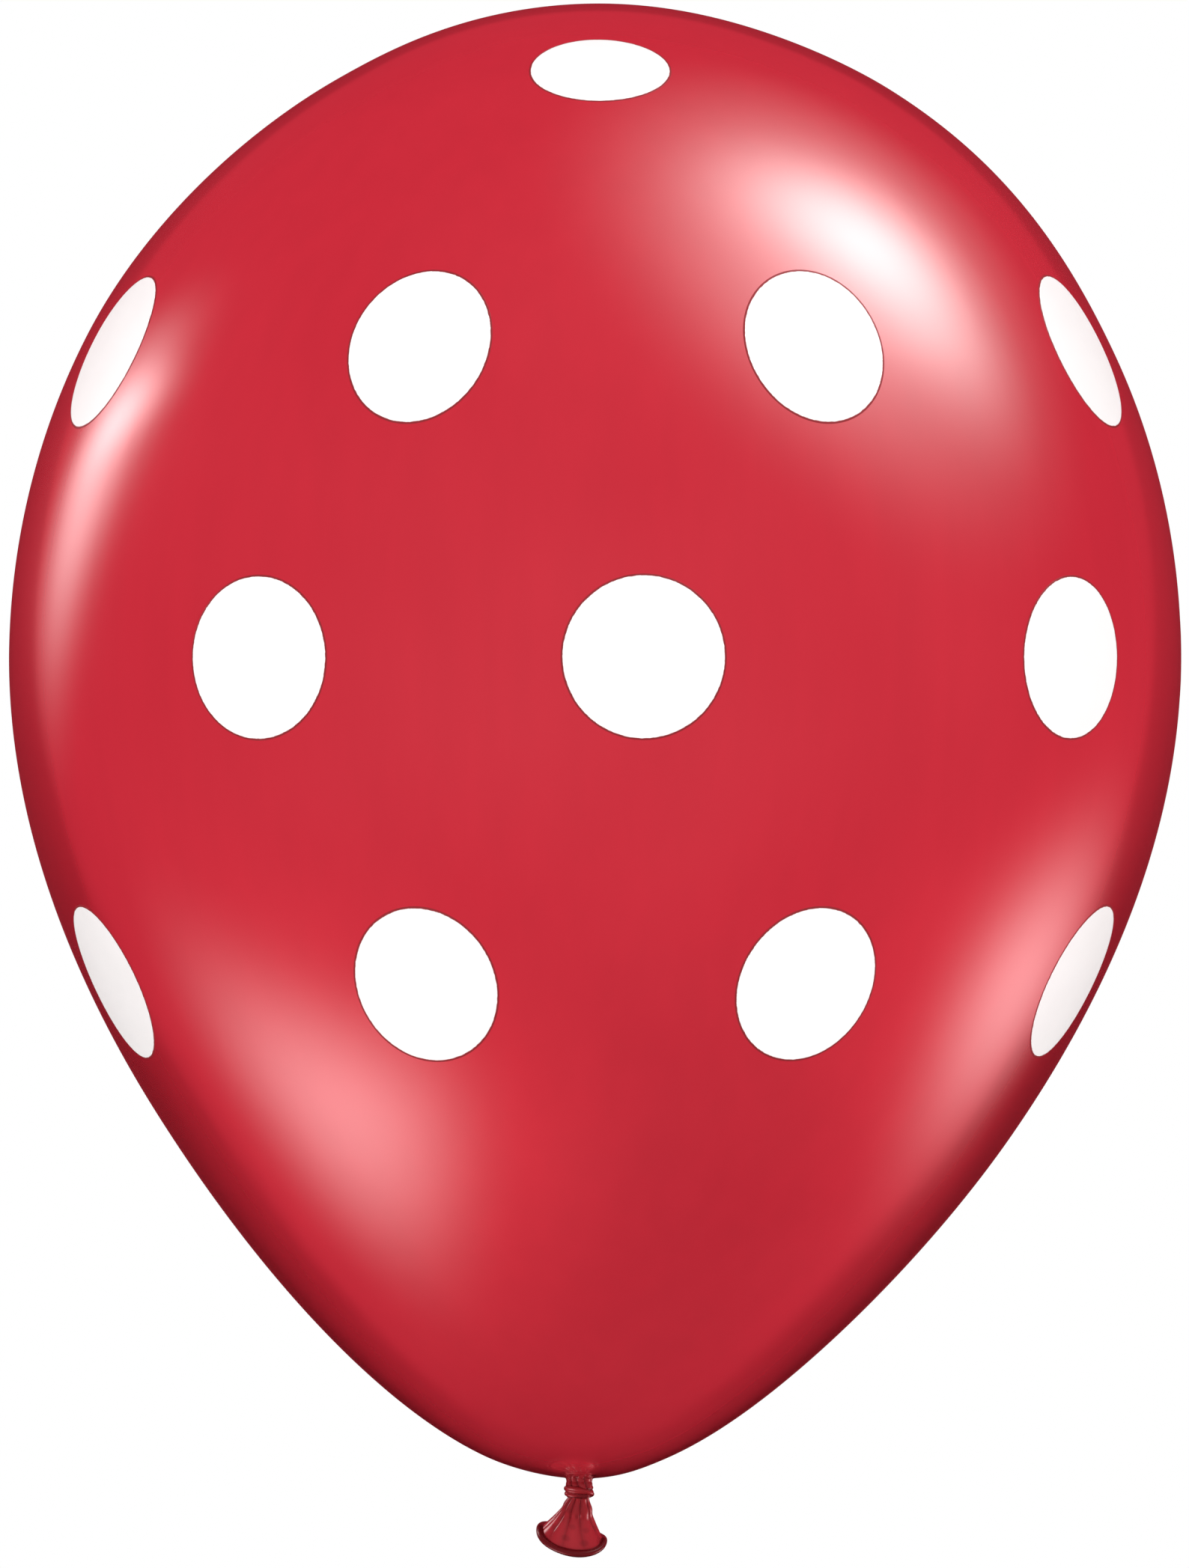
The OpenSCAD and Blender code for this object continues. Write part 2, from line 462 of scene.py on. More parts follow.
def mesh_arrays(thing):
    """Points and triangles of an object's mesh as arrays."""
    mesh = thing.data
    mesh.calc_loop_triangles()
    points = np.empty(len(mesh.vertices) * 3, np.float32)
    mesh.vertices.foreach_get("co", points)
    corners = np.empty(len(mesh.loop_triangles) * 3, np.int32)
    mesh.loop_triangles.foreach_get("vertices", corners)
    return points.reshape(-1, 3).astype(float), corners.reshape(-1, 3)


def bulb_normal(point):
    """Normal of the bulb at a point: outwards by one, and up by how much the radius shrinks with height."""
    step = 0.2 * MM
    slope = (radius_at(point[2] + step) - radius_at(point[2] - step)) / (2 * step)
    out = point[:2] / np.hypot(*point[:2])
    return unit(np.array([out[0], out[1], -slope]))


def let_down(points, direction):
    """Points moved along direction until they lie on the bulb: the stretch that holds the surface is halved
    again and again, and each half is kept or dropped by whether its middle is inside the bulb."""
    inner = np.full(points.shape[:-1], -SEARCH)
    outer = -inner
    for _ in range(HALVINGS):
        middle = (inner + outer) / 2
        tried = points + middle[..., None] * direction
        inside = np.hypot(tried[..., 0], tried[..., 1]) < radius_at(tried[..., 2])
        inner = np.where(inside, middle, inner)
        outer = np.where(inside, outer, middle)
    return points + inner[..., None] * direction


def dot_place(node):
    """Middle, directions and half widths of a packed dot. The middle is the mean of its skin weighted by
    area, put on the bulb; side and up lie in the surface there, and a half width is the dot's reach along
    each of them."""
    points, triangles = mesh_arrays(frame["nodes"][node])
    a, b, c = (points[triangles[:, i]] for i in range(3))
    area = np.linalg.norm(np.cross(b - a, c - a), axis=1)
    middle = np.average((a + b + c) / 3, axis=0, weights=area)
    normal = bulb_normal(middle)
    middle = let_down(middle, normal)
    side = unit(np.cross([0.0, 0.0, 1.0], normal))
    up = np.cross(normal, side)
    return middle, normal, side, up, np.ptp(points @ side) / 2, np.ptp(points @ up) / 2


# %% [markdown]
# ## One lens of ink for each dot
#
# A printed dot is a few hundredths of a millimetre thick, with a round border. A picture wrapped on the
# bulb could show it too, but a closed lens of its own catches the light at its rim, and it keeps the dot
# as a separate layer, as the ink is. Each lens is sunk a little into the bulb, so that no gap shows.

# %% The dots' skins
DOT_AROUND = 120
INK_THICK, INK_CLEAR = 0.06 * MM, 0.012 * MM
INK_FALLS = 0.985
RIM_LINE = 0.45 * MM
SUNK = 0.08 * MM


def printed_dot(node):
    """A closed lens: oval rings out from the middle on top, lifted by the ink, which falls away over its
    rim, then rings sunk under the bulb's surface that close it below. "edge" is 1 where the white ends."""
    middle, normal, side, up, half_wide, half_long = dot_place(node)
    whole = 1 + RIM_LINE / half_wide
    share = np.concatenate([np.linspace(0.03, 0.93, 16), np.linspace(0.95, whole, 12)])
    round_it = np.linspace(0, 2 * np.pi, DOT_AROUND, endpoint=False)
    oval = half_wide * np.cos(round_it)[:, None] * side + half_long * np.sin(round_it)[:, None] * up
    lying = let_down(middle + share[:, None, None] * oval, normal)
    lift = INK_THICK * (1 - smooth_step(share, INK_FALLS, whole)) + INK_CLEAR
    top = lying + lift[:, None, None] * normal
    under = lying[::-3] - SUNK * normal
    edge = np.concatenate([share, np.full(len(under), whole)])
    dot = skin("printed_" + node, sway(np.concatenate([top, under])), edge=edge[:, None])
    dot.data.materials.append(ink)
    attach(dot, "root")
    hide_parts(node)
    return dot


dot_nodes = sorted(n for n in frame["nodes"] if "_dot_" in n)
dots = [printed_dot(n) for n in dot_nodes]
print(len(dots), "dots")

# %% [markdown]
# ## The gathered neck
#
# The neck is a short bundle of the same lobes, pulled tight, with a waist. It starts inside the foot of
# the bulb and ends inside the knot. The knot can be twisted under the bulb, while the neck stays fixed
# where it is built.

# %% The neck's skin
NECK_TOP, NECK_END = 2.2 * MM, -1.6 * MM
NECK_RINGS, NECK_AROUND = 48, 180
NECK_FULL = 1.06
NECK_FOLDS, NECK_WIND = 0.14, 0.25
WAIST_DEEP, WAIST_REACH = 0.05, 0.45 * MM
z = np.linspace(NECK_TOP, NECK_END, NECK_RINGS)
waist = 1.02 - WAIST_DEEP * np.exp(-((z / WAIST_REACH) ** 2))
angle = np.linspace(0, 2 * np.pi, NECK_AROUND, endpoint=False)
fold = lobes(angle[None, :], twist=NECK_WIND * (z[:, None] / NECK_TOP))
radial = NECK_FULL * NECK_R * waist[:, None] * (1 - NECK_FOLDS + NECK_FOLDS * fold)
rings = np.stack([
    radial * np.sin(angle),
    -radial * np.cos(angle),
    np.broadcast_to(z[:, None], radial.shape),
], -1)
# Painted shade: the valleys between the neck's lobes are darkened.
neck = skin("gathered_neck", rings, film=np.full((len(z), 1), 0.1), crease=0.85 * (1 - fold))
neck.data.materials.append(tail_latex)
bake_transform(neck)
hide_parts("neck")

# %% [markdown]
# ## The knot
#
# Pulled tight, the knot is a few turns of rolled latex, laid close together round the neck, with one turn
# that crosses over the others on the slant. Each strand is a flattened tube swept along a path: a helix for
# the turns, and a tilted ring for the one that crosses. A lobed core fills the middle.

# %% A strand swept along a path
STRAND_AROUND = 48


def swept(path, wide, thick):
    """Rings of points round a path. At each point of the path a frame is made from its tangent and the
    direction away from the z axis; the ring is an ellipse, thick away from the axis and wide beside it."""
    tangent = unit(np.gradient(path, axis=0))
    away = path * [1, 1, 0]
    away = unit(away - np.sum(away * tangent, 1, keepdims=True) * tangent)
    aside = np.cross(tangent, away)
    around = np.linspace(0, 2 * np.pi, STRAND_AROUND, endpoint=False)[None, :, None]
    return path[:, None] + thick * np.cos(around) * away[:, None] + wide * np.sin(around) * aside[:, None]


# %% The turns
knot_low, knot_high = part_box("knot")
KNOT_R = (knot_high.x - knot_low.x) / 2
KNOT_TOP, KNOT_FOOT = knot_high.z, knot_low.z
TURNS, TURNS_START, TURNS_STEPS = 1.9, 0.8, 400
STRAND_WIDE, STRAND_THICK = 0.62 * MM, 0.72 * MM
ENDS_TUCK, ENDS_SHARE = 0.5 * MM, 0.1
TURNS_WAVE = 0.08 * MM

s = np.linspace(0, 2 * np.pi * TURNS, TURNS_STEPS)
part = s / s[-1]
tucked = smooth_step(-part, -ENDS_SHARE, 0) + smooth_step(part, 1 - ENDS_SHARE, 1)
path_r = KNOT_R - STRAND_THICK - ENDS_TUCK * tucked
drop = KNOT_FOOT - KNOT_TOP + 2 * STRAND_WIDE
z = KNOT_TOP - STRAND_WIDE + drop * part + TURNS_WAVE * np.sin(2 * s)
coil = skin("knot_coil", swept(
    np.stack([path_r * np.sin(s + TURNS_START), -path_r * np.cos(s + TURNS_START), z], -1),
    STRAND_WIDE, STRAND_THICK,
))

# %% The turn that crosses over
KNOT_Z = (KNOT_TOP + KNOT_FOOT) / 2
CROSS_STEPS, CROSS_START = 300, 0.9
CROSS_IN, CROSS_RISE = 0.62 * MM, 0.8 * MM
CROSS_WIDE, CROSS_THICK = 0.66 * MM, 0.78 * MM

s = np.linspace(0, 2 * np.pi, CROSS_STEPS)
over_r = KNOT_R - CROSS_IN
over_z = KNOT_Z + CROSS_RISE * np.cos(s + CROSS_START)
cross = skin("knot_cross", swept(
    np.stack([over_r * np.sin(s), -over_r * np.cos(s), over_z], -1),
    CROSS_WIDE, CROSS_THICK,
))

# %% The core
CORE_R, CORE_FOLDS, CORE_INSET = 2.9 * MM, 0.07, 0.1 * MM
CORE_GRID = (24, 120)

z = np.linspace(KNOT_TOP - CORE_INSET, KNOT_FOOT + CORE_INSET, CORE_GRID[0])
angle = np.linspace(0, 2 * np.pi, CORE_GRID[1], endpoint=False)
core_r = CORE_R * (1 - CORE_FOLDS + CORE_FOLDS * lobes(angle))
core = skin("knot_core", np.stack([
    np.broadcast_to(core_r * np.sin(angle), CORE_GRID),
    np.broadcast_to(-core_r * np.cos(angle), CORE_GRID),
    np.broadcast_to(z[:, None], CORE_GRID),
], -1))

# %% [markdown]
# ## One skin for the knot
#
# The turns of a tight knot press into one another and touch all along. Left as separate tubes they would
# cut through each other, so they are joined and welded by a voxel remesh, which makes one closed skin and
# leaves a crease where two turns meet. A light smoothing takes away the steps of the voxels.

# %% Welding the knot's turns
KNOT_SHADE_FROM, KNOT_SHADE_FULL = 0.15 * MM, 0.65 * MM

bpy.ops.object.select_all(action="DESELECT")
for strand in (cross, core, coil):
    strand.select_set(True)
bpy.context.view_layer.objects.active = coil
bpy.ops.object.join()
coil.name = "tied_knot"
knot = coil
weld = knot.modifiers.new("weld", "REMESH")
weld.mode = "VOXEL"
weld.voxel_size = 0.07 * MM
soften = knot.modifiers.new("soften", "SMOOTH")
soften.factor = 0.5
soften.iterations = 4
depsgraph = bpy.context.evaluated_depsgraph_get()
welded = bpy.data.meshes.new_from_object(knot.evaluated_get(depsgraph))
knot.modifiers.clear()
knot.data = welded
welded.polygons.foreach_set("use_smooth", np.ones(len(welded.polygons), bool))

# The welded skin gets painted shade by how deep each point lies under the knot's widest ring: creases are
# dark.
points, _ = mesh_arrays(knot)
depth = KNOT_R - np.hypot(points[:, 0], points[:, 1])
shades = {"film": np.zeros(len(points)), "crease": smooth_step(depth, KNOT_SHADE_FROM, KNOT_SHADE_FULL)}
for shade, values in shades.items():
    layer = welded.attributes.new(shade, "FLOAT", "POINT")
    layer.data.foreach_set("value", values.astype(np.float32))
welded.materials.clear()
welded.materials.append(tail_latex)
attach(knot, "knot")
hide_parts("knot")
print("welded knot:", len(welded.polygons), "faces")

# %% [markdown]
# ## The tail
#
# Below the knot the end of the neck opens again. It is a soft funnel: folds run down from the knot and
# fade out towards the mouth, which its rolled rim holds open. The funnel is built along its own axis,
# straight down from the bend under the knot, then turned as it hangs: towards the rear and a little to
# the left. The mouth isn't flat; its rear hangs down and its two sides curl up.

# %% Where the tail hangs
TAIL_REAR, TAIL_LEFT = math.radians(30), math.radians(10)
TAIL_L = 9.5 * MM
BEAD_R = 0.95 * MM
bend = np.array(frame["joints"][1]["pos_m"])
bead_low, bead_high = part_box("tail_bead")

turn_rear = np.array([
    [1, 0, 0],
    [0, math.cos(TAIL_REAR), -math.sin(TAIL_REAR)],
    [0, math.sin(TAIL_REAR), math.cos(TAIL_REAR)],
])
turn_left = np.array([
    [math.cos(TAIL_LEFT), 0, math.sin(TAIL_LEFT)],
    [0, 1, 0],
    [-math.sin(TAIL_LEFT), 0, math.cos(TAIL_LEFT)],
])
hang = turn_left @ turn_rear
mouth = bend + hang @ np.array([0, 0, -TAIL_L])
middle_of_box = (np.array(bead_low) + np.array(bead_high)) / 2
print("mouth is", np.round((mouth - middle_of_box) / MM, 3), "mm from the packed rim's middle")

MOUTH_R = 7.8 * MM
REAR_HANG, FRONT_HANG = 3.6 * MM, 0.4 * MM


def hung(points):
    """Points given along the tail's own axis, from the bend, put where the tail hangs."""
    return points @ hang.T + bend


def mouth_wave(angle):
    """How the soft mouth strays from a flat circle, at each angle from its front: a radius factor, and how
    far it stands above the circle's plane. The rear hangs down, as if the mouth were pressed half shut, and
    the two sides curl up."""
    rear = np.maximum(-np.cos(angle), 0) ** 1.5
    front = np.maximum(np.cos(angle), 0)
    height = -REAR_HANG * rear - FRONT_HANG * front + 0.2 * MM * np.sin(2 * angle + 0.9)
    return 1 + 0.015 * np.sin(2 * angle + 0.7) + 0.012 * np.sin(3 * angle), height


# %% [markdown]
# ## The funnel's skin
#
# The funnel starts narrow, deep inside the knot, so that its top edge is out of sight. It widens to a
# shoulder just below the knot and then nearly straight to the mouth. It is hollow: the skin turns round
# near the rim and comes back up inside as a second wall. It stays where it is built and is not attached
# to the knot or the tail. Here s is the way down its axis from the bend.

# %% The skirt's skin
WALL, WALL_THICKER = 0.35 * MM, 2.2
SKIRT_LOBES, SKIRT_RINGS, SKIRT_AROUND = 8, 106, 240
THROAT_S, THROAT_R, THROAT_END = -1.9 * MM, 2.2 * MM, 2.3 * MM
SHOULDER_S, SHOULDER_R = 2.8 * MM, 3.7 * MM
SKIRT_END = 9.2 * MM
FLARE_BOW = 0.2
EASE = 6
FOLDS_DEEP, FOLDS_LEFT, FOLDS_FROM = 0.16, 0.015, 1.5 * MM
INNER_FROM, INNER_LEAST = 2.8 * MM, 0.3 * MM

angle = np.linspace(0, 2 * np.pi, SKIRT_AROUND, endpoint=False)
down = np.linspace(THROAT_S, SKIRT_END, SKIRT_RINGS)
u = np.clip((down - SHOULDER_S) / (TAIL_L - SHOULDER_S), -1, 1)
below = SHOULDER_R + (MOUTH_R - SHOULDER_R) * ((1 - FLARE_BOW) * u + FLARE_BOW * u * u)
above = THROAT_R + (SHOULDER_R - THROAT_R) * smooth_step(down, THROAT_S, THROAT_END)
outer = np.where(u > 0, below, above)

# The corner at the shoulder is eased: each radius becomes the mean of itself and EASE rings on each side.
eased = 2 * EASE + 1
outer = np.convolve(np.pad(outer, EASE, mode="edge"), np.ones(eased) / eased, "valid")
flare = np.clip(down / TAIL_L, 0, 1)
depth = FOLDS_DEEP * (1 - smooth_step(down, FOLDS_FROM, SKIRT_END)) + FOLDS_LEFT
fold = lobes(angle[None, :], count=SKIRT_LOBES, twist=0.35 - 0.3 * flare[:, None])
wave_r, wave_z = mouth_wave(angle)
reach = flare[:, None] ** 2
radial = outer[:, None] * (1 - depth[:, None] * (1 - fold)) * (1 + (wave_r - 1) * reach)
low = -down[:, None] + wave_z * reach
outside = np.stack([radial * np.sin(angle), -radial * np.cos(angle), low], -1)

keep = down > INNER_FROM
wall = WALL * (1 + WALL_THICKER * (1 - flare[keep][:, None]))
inside_r = np.maximum(radial[keep] - wall, INNER_LEAST)
inside = np.stack([inside_r * np.sin(angle), -inside_r * np.cos(angle), low[keep]], -1)[::-1]

# %% The skirt's painted shade and blotches
FUNNEL_FILM, INSIDE_SHADE = 0.35, 0.7
# Painted shade in the valleys of the folds, less towards the mouth, and all over the inside wall; a product
# of two waves adds darker blotches on top.
blotch = np.sin(3 * angle + 14 * flare[:, None] + 1.3) * np.sin(5 * angle - 9 * flare[:, None])
crease = 0.8 * (1 - fold) * (1 - 0.6 * flare[:, None]) + 0.25 * smooth_step(blotch, 0.2, 0.9)
skirt = skin(
    "tail_funnel",
    hung(np.concatenate([outside, inside])),
    film=np.concatenate([FUNNEL_FILM * smooth_step(flare, 0.1, 0.6)[:, None] + 0 * radial, 0 * inside_r]),
    crease=np.concatenate([crease, 0 * inside_r + INSIDE_SHADE]),
)
skirt.data.materials.append(tail_latex)
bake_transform(skirt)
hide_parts("tail_skirt")

# %% [markdown]
# ## The rolled rim
#
# The mouth of a balloon is rolled up on itself when it is made, and the roll stays as a thick ring.
# It is a torus whose section is one turn of a spiral rather than a circle, so the outer turn's edge shows
# as a fine step. Small cross wrinkles run all the way round, and the roll is a little uneven in thickness.

# %% The rim's skin
RIM_AROUND, ROLL_AROUND = 360, 56
ROLL_STEP, ROLL_EDGE = 0.09, 2.4
WRINKLES, WRINKLE_HIGH = 46, 0.018

angle = np.linspace(0, 2 * np.pi, RIM_AROUND, endpoint=False)
round_it = np.linspace(0, 2 * np.pi, ROLL_AROUND, endpoint=False)
wave_r, wave_z = mouth_wave(angle)
roll = 1 - ROLL_STEP * np.mod(round_it - ROLL_EDGE, 2 * np.pi) / (2 * np.pi)
ripple = np.sin(WRINKLES * angle + 3 * np.sin(3 * angle))
wrinkle = 1 + WRINKLE_HIGH * ripple * np.sin(round_it / 2)[:, None] ** 2
uneven = 1 + 0.04 * np.sin(3 * angle + 1) + 0.03 * np.sin(5 * angle + 0.3)
thick = BEAD_R * roll[:, None] * wrinkle * uneven
radial = MOUTH_R * wave_r + thick * np.cos(round_it)[:, None]
low = -TAIL_L + wave_z + thick * np.sin(round_it)[:, None]
rings = np.stack([radial * np.sin(angle), -radial * np.cos(angle), low], -1).transpose(1, 0, 2)
# The whole rim is darkened almost to the deep red.
rim = skin("rolled_rim", hung(rings), joined=True, film=0.0, crease=0.96)
rim.data.materials.append(rim_latex)
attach(rim, "tail")
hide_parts("tail_bead")

# %% [markdown]
# ## The camera
#
# The balloon is looked at level, from the front, with a long lens from 6 m away, so that it is
# hardly distorted: the rows of dots look straight. The camera is turned by about a degree, because the
# balloon is seen leaning that much.

# %% The camera
EYE_AWAY = 6.0
EYE_HEIGHT = 0.1667
EYE_ASIDE = 0.45 * MM
LENS, SENSOR = 576.4, 36
LEAN = math.radians(1.1)

eye = bpy.data.cameras.new("eye")
eye.lens = LENS
eye.sensor_width = SENSOR
camera = bpy.data.objects.new("eye", eye)
camera.location = (EYE_ASIDE, -EYE_AWAY, EYE_HEIGHT)
camera.rotation_euler = (math.pi / 2, -LEAN, 0)
bpy.context.scene.collection.objects.link(camera)
bpy.context.scene.camera = camera
print(f"camera {EYE_AWAY} m away, lens {LENS} mm")

# %% [markdown]
# ## The studio
#
# Gloss shows its surroundings, so the studio is built for what the balloon mirrors. Eight soft cards, in
# four pairs, give four highlights: one high on the right, one behind the left edge, and two low ones.
# A pair is a larger card for the glow and a smaller one, in about the same direction, for its bright
# middle. Each card is brightest in its own middle and fades out, so that its reflection has no hard edge.
# The large ones low down are red: that is light thrown back by the red balloon itself.

# %% Panels of light
BALLOON_MIDDLE = np.array([0, 0, 0.18])
PANEL_AWAY = 1.0
PANEL_STEP = 0.006
PANEL_EDGE = 0.006
WARM = (1.0, 0.88, 0.88)
COOL = (0.90, 1.0, 0.98)
RED = (1.0, 0.08, 0.1)
panels = []


def soft_panel(name, azimuth, elevation, width, height, strength, shift=(0, 0), tilt=0.0, tint=WARM):
    """A glowing card, about a metre away, that faces the balloon: azimuth 0 is the camera's side and 90 the
    right, and elevation is above level. shift slides the card in its own plane and tilt turns it there. Its
    light falls off from its middle as a bell curve, PANEL_EDGE raised to the square of the way out, less
    what is left of it at the card's edge. Cards add up where they overlap, and only gloss sees them. Each
    card stands a step behind the one before, because a ray that meets two cards in one plane sees only
    one of them."""
    away = PANEL_AWAY + PANEL_STEP * len(panels)
    a, e = math.radians(azimuth), math.radians(elevation)
    direction = np.array([math.sin(a) * math.cos(e), -math.cos(a) * math.cos(e), math.sin(e)])
    across = unit(np.cross([0.0, 0.0, 1.0], direction))
    up = np.cross(direction, across)
    slid = shift[0] * across + shift[1] * up
    turned = math.radians(tilt)
    across, up = (
        across * math.cos(turned) + up * math.sin(turned),
        up * math.cos(turned) - across * math.sin(turned),
    )
    mesh = bpy.data.meshes.new(name)
    corners = np.array([[-1, -1], [1, -1], [1, 1], [-1, 1]])
    points = np.hstack([corners * [width / 2, height / 2], np.zeros((4, 1))])
    mesh.from_pydata(points.tolist(), [], [(0, 1, 2, 3)])
    panel = bpy.data.objects.new(name, mesh)
    bpy.context.scene.collection.objects.link(panel)
    matrix = np.eye(4)
    matrix[:3, 0], matrix[:3, 1], matrix[:3, 2] = across, up, direction
    matrix[:3, 3] = BALLOON_MIDDLE + away * direction + slid
    panel.matrix_world = matrix.T.tolist()

    material = bpy.data.materials.new(name)
    material.use_nodes = True
    tree = material.node_tree
    tree.nodes.clear()
    place = tree.nodes.new("ShaderNodeTexCoord").outputs["Object"]
    shrink = tree.nodes.new("ShaderNodeMapping")
    shrink.inputs["Scale"].default_value = (2 / width, 2 / height, 1)
    tree.links.new(place, shrink.inputs["Vector"])
    length = tree.nodes.new("ShaderNodeVectorMath")
    length.operation = "LENGTH"
    tree.links.new(shrink.outputs["Vector"], length.inputs[0])
    square = tree.nodes.new("ShaderNodeMath")
    square.operation = "MULTIPLY"
    tree.links.new(length.outputs["Value"], square.inputs[0])
    tree.links.new(length.outputs["Value"], square.inputs[1])
    bell = tree.nodes.new("ShaderNodeMath")
    bell.operation = "POWER"
    bell.inputs[0].default_value = PANEL_EDGE
    tree.links.new(square.outputs[0], bell.inputs[1])
    gain = tree.nodes.new("ShaderNodeMapRange")
    gain.inputs["From Min"].default_value = PANEL_EDGE
    gain.inputs["To Max"].default_value = strength
    tree.links.new(bell.outputs[0], gain.inputs["Value"])
    glow = tree.nodes.new("ShaderNodeEmission")
    glow.inputs["Color"].default_value = (*tint, 1)
    tree.links.new(gain.outputs[0], glow.inputs["Strength"])
    clear = tree.nodes.new("ShaderNodeBsdfTransparent")
    both = tree.nodes.new("ShaderNodeAddShader")
    tree.links.new(glow.outputs[0], both.inputs[0])
    tree.links.new(clear.outputs[0], both.inputs[1])
    end = tree.nodes.new("ShaderNodeOutputMaterial")
    tree.links.new(both.outputs[0], end.inputs["Surface"])
    mesh.materials.append(material)
    panel.visible_camera = False
    panel.visible_diffuse = False
    panel.visible_shadow = False
    panels.append(panel)


soft_panel("panel_high_right", 94, 53, 0.87, 1.33, 4.8, shift=(-0.043, -0.005), tilt=11, tint=COOL)
soft_panel("panel_high_right_halo", 94, 53, 2.14, 2.15, 2.3, shift=(-0.211, 0.063), tilt=-16, tint=COOL)
soft_panel("panel_left_edge", -123.5, 12, 0.63, 1.09, 2.3, shift=(0.062, 0.072), tilt=-30)
soft_panel("panel_left_edge_core", -123.5, 12, 0.27, 0.81, 2.2, shift=(0.095, 0.169), tilt=-58)
soft_panel("panel_low_left", -97, -49, 0.78, 1.65, 2.1, shift=(0.168, -0.053), tilt=46)
soft_panel("panel_low_left_halo", -90, -52, 1.64, 3.20, 1.2, shift=(0.34, -0.26), tilt=37, tint=RED)
soft_panel("panel_low_right", 117, -28, 1.23, 0.77, 1.6, shift=(-0.053, 0.017), tilt=23)
soft_panel("panel_low_right_halo", 117, -28, 2.60, 1.40, 0.7, shift=(-0.327, -0.078), tilt=34, tint=RED)

print(len(panels), "soft panels")

# %% [markdown]
# ## The room
#
# The room gives a soft light from all round, brightest from the front, and shows white behind the balloon.
# Gloss sees something else: a plain red glow, and darkness behind and below. The dark behind draws the
# balloon's dark edge. It leans, so the edge is wider low down than high up, and high behind it is only
# half dark. A world made of nodes can tell these rays apart, which no real room could.

# %% The room's light
FRONT_LIGHT, REAR_LIGHT, ROOM_SEEN = 1.42, 0.64, 1.0
MIRRORED = (0.55, 0.03, 0.05)
BEHIND_FROM, BEHIND_TO = 0.76, 0.88
BEHIND_LEAN = 0.36
BELOW_FROM, BELOW_TO = -0.98, -0.55
HIGH_BEHIND = 0.55
HIGH_FROM, HIGH_TO = -0.3, 0.1

world = bpy.data.worlds.new("studio")
bpy.context.scene.world = world
world.use_nodes = True
tree = world.node_tree
tree.nodes.clear()


def background(strength, colour=None):
    """A plain surround of that strength: white, or the colour of a socket."""
    node = tree.nodes.new("ShaderNodeBackground")
    node.inputs["Color"].default_value = (1, 1, 1, 1)
    node.inputs["Strength"].default_value = strength
    if colour:
        tree.links.new(colour, node.inputs["Color"])
    return node.outputs[0]


def choose(test, yes, no):
    """The surround yes for rays that pass the test, and no for the others."""
    node = tree.nodes.new("ShaderNodeMixShader")
    tree.links.new(test, node.inputs[0])
    tree.links.new(no, node.inputs[1])
    tree.links.new(yes, node.inputs[2])
    return node.outputs[0]


def carried(value, low, high, at_low, at_high):
    """value carried smoothly from low..high to at_low..at_high."""
    node = tree.nodes.new("ShaderNodeMapRange")
    node.interpolation_type = "SMOOTHSTEP"
    for key, number in (("From Min", low), ("From Max", high), ("To Min", at_low), ("To Max", at_high)):
        node.inputs[key].default_value = number
    tree.links.new(value, node.inputs["Value"])
    return node.outputs["Result"]


direction = tree.nodes.new("ShaderNodeTexCoord")
axes = tree.nodes.new("ShaderNodeSeparateXYZ")
tree.links.new(direction.outputs["Generated"], axes.inputs[0])
high_behind = carried(axes.outputs["Z"], HIGH_FROM, HIGH_TO, 0, HIGH_BEHIND)
leaning = tree.nodes.new("ShaderNodeMath")
leaning.operation = "MULTIPLY_ADD"
leaning.inputs[1].default_value = -BEHIND_LEAN
tree.links.new(axes.outputs["Z"], leaning.inputs[0])
tree.links.new(axes.outputs["Y"], leaning.inputs[2])
in_front = carried(leaning.outputs[0], BEHIND_FROM, BEHIND_TO, 1, 0)
either = tree.nodes.new("ShaderNodeMath")
either.operation = "MAXIMUM"
tree.links.new(in_front, either.inputs[0])
tree.links.new(high_behind, either.inputs[1])
lit_part = tree.nodes.new("ShaderNodeMath")
lit_part.operation = "MULTIPLY"
tree.links.new(either.outputs[0], lit_part.inputs[0])
tree.links.new(carried(axes.outputs["Z"], BELOW_FROM, BELOW_TO, 0, 1), lit_part.inputs[1])
mirrored = tree.nodes.new("ShaderNodeVectorMath")
mirrored.operation = "SCALE"
mirrored.inputs[0].default_value = MIRRORED
tree.links.new(lit_part.outputs[0], mirrored.inputs["Scale"])

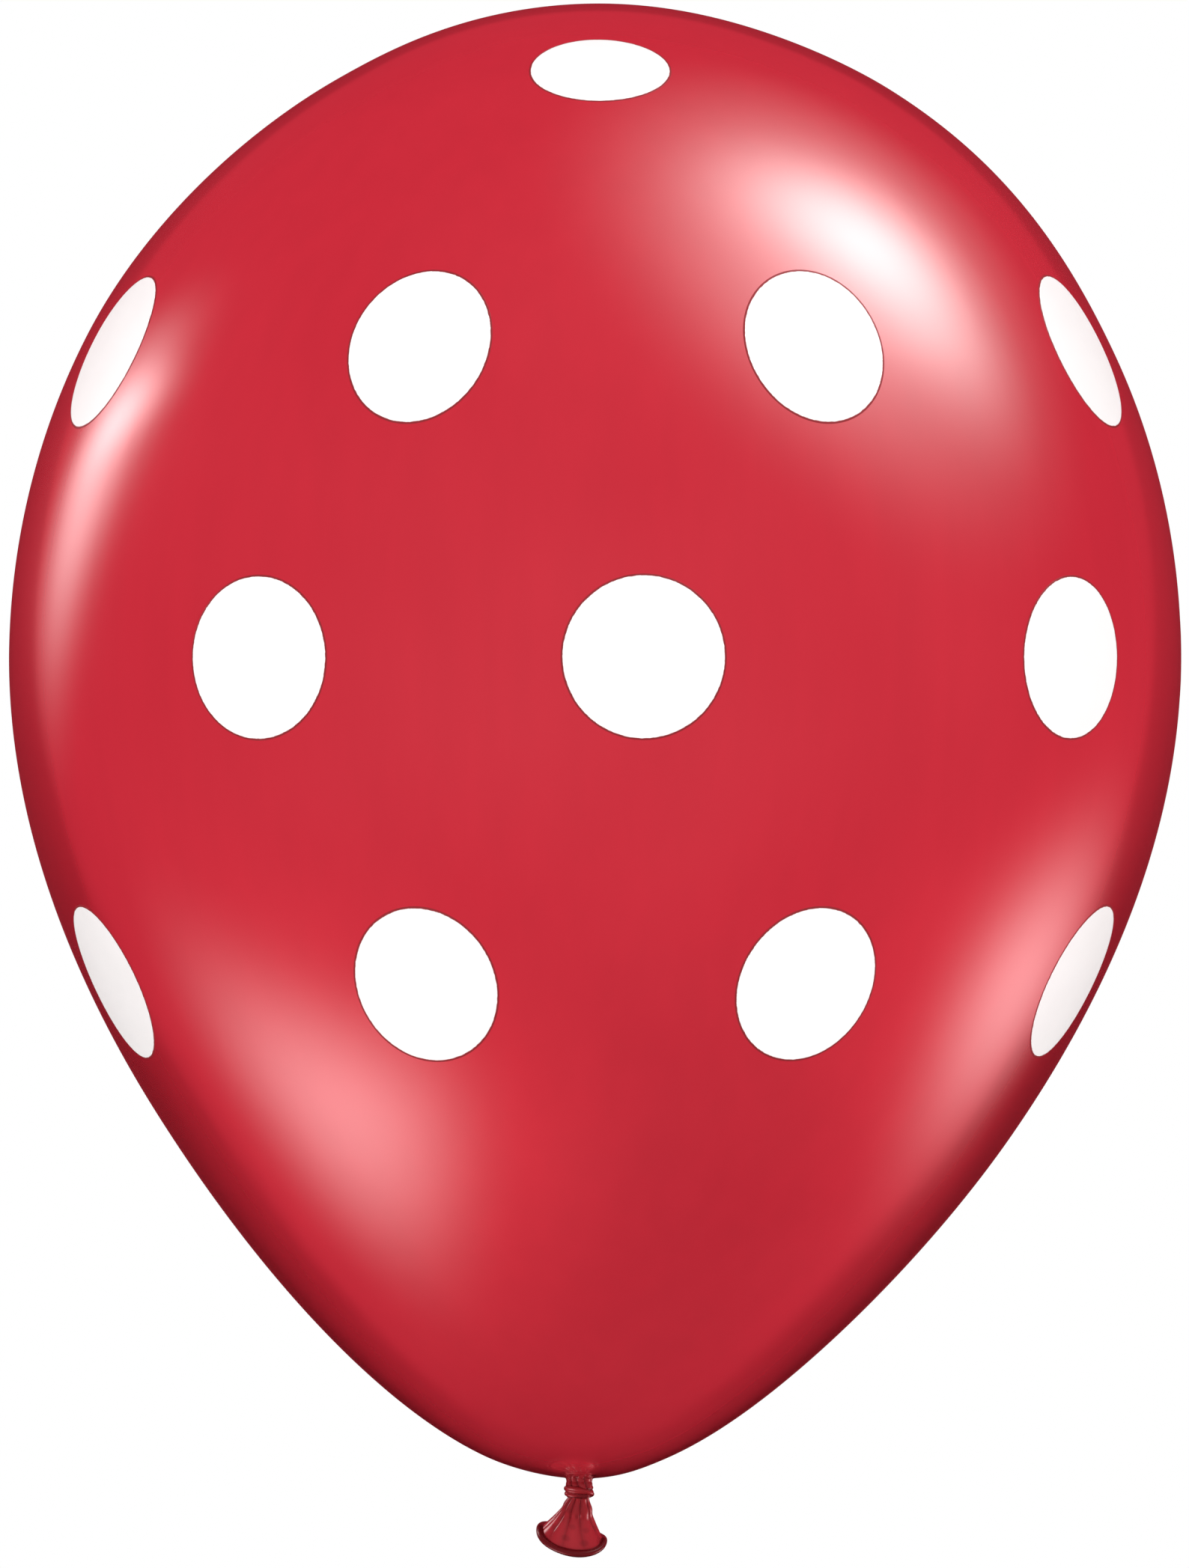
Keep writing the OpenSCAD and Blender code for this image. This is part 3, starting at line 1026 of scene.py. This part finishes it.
front_to_rear = tree.nodes.new("ShaderNodeMapRange")
for key, number in (("From Min", -1), ("From Max", 1), ("To Min", FRONT_LIGHT), ("To Max", REAR_LIGHT)):
    front_to_rear.inputs[key].default_value = number
tree.links.new(axes.outputs["Y"], front_to_rear.inputs["Value"])
rays = tree.nodes.new("ShaderNodeLightPath")
room = background(1, front_to_rear.outputs["Result"])
lit = choose(rays.outputs["Is Glossy Ray"], background(1, mirrored.outputs["Vector"]), room)
seen = choose(rays.outputs["Is Camera Ray"], background(ROOM_SEEN), lit)
out = tree.nodes.new("ShaderNodeOutputWorld")
tree.links.new(seen, out.inputs["Surface"])

print("room: light from the front", FRONT_LIGHT, "and from the rear", REAR_LIGHT)

# %% [markdown]
# ## The floor and the key lamp
#
# A pale floor a metre below throws light up at the underside, as a studio's floor does, and one weak, broad
# lamp above on the right gives the front a little shape. Gloss sees neither of them.

# %% The floor and the lamp
FLOOR_Z = -1.0
FLOOR_R = 2.6
FLOOR_CORNERS = 96
LAMP_SIZE, LAMP_POWER = 1.2, 0.8
LAMP_DOWN, LAMP_TURN = math.radians(38), math.radians(35)

bpy.ops.mesh.primitive_circle_add(
    vertices=FLOOR_CORNERS, radius=FLOOR_R, fill_type="NGON", location=(0, 0, FLOOR_Z),
)
floor = bpy.context.object
floor.name = "studio_floor"
paint, shader, add, join = new_material("pale_floor")
place = add("ShaderNodeTexCoord").outputs["Object"]
cloud = noise(add, join, place, 3, detail=4)
join(mix(add, join, cloud, (0.87, 0.87, 0.86), (0.90, 0.90, 0.89)), shader.inputs["Base Color"])
shader.inputs["Roughness"].default_value = 0.8
floor.data.materials.append(paint)
floor.visible_glossy = False

key = bpy.data.lights.new("key", "AREA")
key.shape = "DISK"
key.size = LAMP_SIZE
key.energy = LAMP_POWER
key_lamp = bpy.data.objects.new("key", key)
key_lamp.location = (0.9, -1.3, 1.9)
key_lamp.rotation_euler = (LAMP_DOWN, 0, LAMP_TURN)
key_lamp.visible_glossy = False
bpy.context.scene.collection.objects.link(key_lamp)

bpy.context.scene.view_settings.view_transform = "Standard"
print("floor and lamp are in place")
